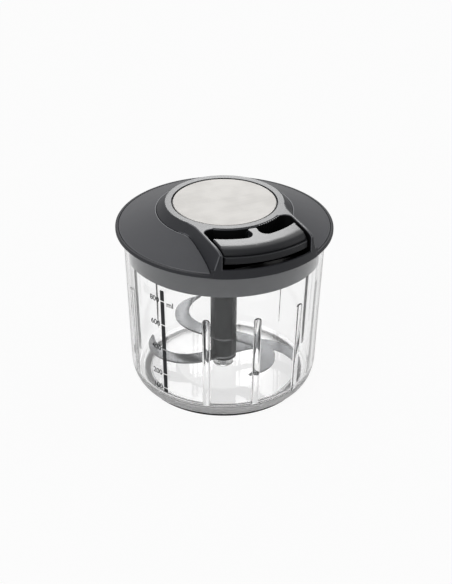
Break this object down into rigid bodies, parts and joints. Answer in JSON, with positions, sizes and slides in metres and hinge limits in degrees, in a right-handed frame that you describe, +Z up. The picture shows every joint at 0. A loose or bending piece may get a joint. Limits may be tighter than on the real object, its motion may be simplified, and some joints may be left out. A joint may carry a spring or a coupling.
{
  "type": "pull cord food chopper",
  "caption": "Hand food chopper: clear bowl with a blade spindle under a dark lid, driven by a T-shaped grip on a pull cord with a recoil reel.",
  "frame": {"origin": "on the bowl's axis at the surface that the rubber ring stands on", "axes": "+Z up along the bowl's and the blades' axis, -Y the way the grip is pulled out, +X to the right of a person who faces the grip"},
  "size_m": [0.1368, 0.1368, 0.126],
  "materials": {
    "clear_plastic": "clear",
    "black_rubber": "matte",
    "plain_steel": "turned",
    "grey_plastic": "matte",
    "black_plastic": "satin",
    "blade_steel": "ground",
    "collar_plastic": "satin",
    "anthracite_plastic": "satin",
    "brushed_plate": "brushed",
    "screw_steel": "zinc plated",
    "natural_plastic": "matte",
    "cord_fibre": "braided",
    "spring_steel": "blued",
    "pawl_plastic": "matte"
  },
  "bodies": {
    "bowl_body": {"bowl": "clear_plastic", "anti_slip_ring": "black_rubber", "pivot_pin": "plain_steel"},
    "blade_unit": {"bearing_sleeve": "grey_plastic", "blade_hub": "black_plastic", "lower_blade": "blade_steel", "blade_spacer": "black_plastic", "upper_blade": "blade_steel", "blade_column": "black_plastic"},
    "lid": {"lid_base": "collar_plastic", "lid_screw_1": "screw_steel", "lid_screw_2": "screw_steel", "lid_screw_3": "screw_steel", "lid_screw_4": "screw_steel", "top_housing": "anthracite_plastic", "dome_cover": "anthracite_plastic", "steel_plate": "brushed_plate", "guide_eyelet": "black_plastic", "reel_axle": "plain_steel", "reel_clip": "plain_steel"},
    "reel": {"cord_reel": "natural_plastic", "cord_winding": "cord_fibre", "recoil_spring": "spring_steel"},
    "pawl_a": {"pawl_1": "pawl_plastic"},
    "pawl_b": {"pawl_2": "pawl_plastic"},
    "pawl_c": {"pawl_3": "pawl_plastic"},
    "coupler": {"drive_coupler": "natural_plastic"},
    "pull_handle": {"grip_upper": "anthracite_plastic", "grip_lower": "anthracite_plastic", "grip_screw_1": "screw_steel", "grip_screw_2": "screw_steel", "cord_knot": "cord_fibre", "pull_cord": "cord_fibre"}
  },
  "joints": [
    {"name": "blade_spin", "type": "hinge", "parent": "bowl_body", "child": "blade_unit", "pos_m": [0, 0, 0.02], "axis": [0, 0, 1], "continuous": true},
    {"name": "lid_lift", "type": "slide", "parent": "bowl_body", "child": "lid", "axis": [0, 0, 1], "range_m": [0, 0.06]},
    {"name": "handle_pull", "type": "slide", "parent": "lid", "child": "pull_handle", "axis": [0, -1, 0], "range_m": [0, 0.3], "stiffness_N_per_m": 20, "springref_m": -0.1, "deforming": ["pull_cord"]},
    {"name": "reel_spin", "type": "hinge", "parent": "lid", "child": "reel", "pos_m": [0, 0, 0.11], "axis": [0, 0, 1], "range_deg": [0, 860], "deforming": ["recoil_spring", "cord_winding"]},
    {"name": "coupler_spin", "type": "hinge", "parent": "lid", "child": "coupler", "pos_m": [0, 0, 0.1], "axis": [0, 0, 1], "continuous": true},
    {"name": "pawl_a_swing", "type": "hinge", "parent": "reel", "child": "pawl_a", "pos_m": [0, -0.012, 0.104], "axis": [0, 0, 1], "range_deg": [0, 12]},
    {"name": "pawl_b_swing", "type": "hinge", "parent": "reel", "child": "pawl_b", "pos_m": [0.01039, 0.006, 0.104], "axis": [0, 0, 1], "range_deg": [0, 12]},
    {"name": "pawl_c_swing", "type": "hinge", "parent": "reel", "child": "pawl_c", "pos_m": [-0.01039, 0.006, 0.104], "axis": [0, 0, 1], "range_deg": [0, 12]}
  ],
  "couplings": [
    {"joint": "reel_spin", "follows": "handle_pull", "rad_per_m": 50},
    {"joint": "coupler_spin", "follows": "handle_pull", "rad_per_m": 50},
    {"joint": "blade_spin", "follows": "handle_pull", "rad_per_m": 50},
    {"joint": "pawl_b_swing", "follows": "pawl_a_swing", "ratio": 1},
    {"joint": "pawl_c_swing", "follows": "pawl_a_swing", "ratio": 1}
  ]
}
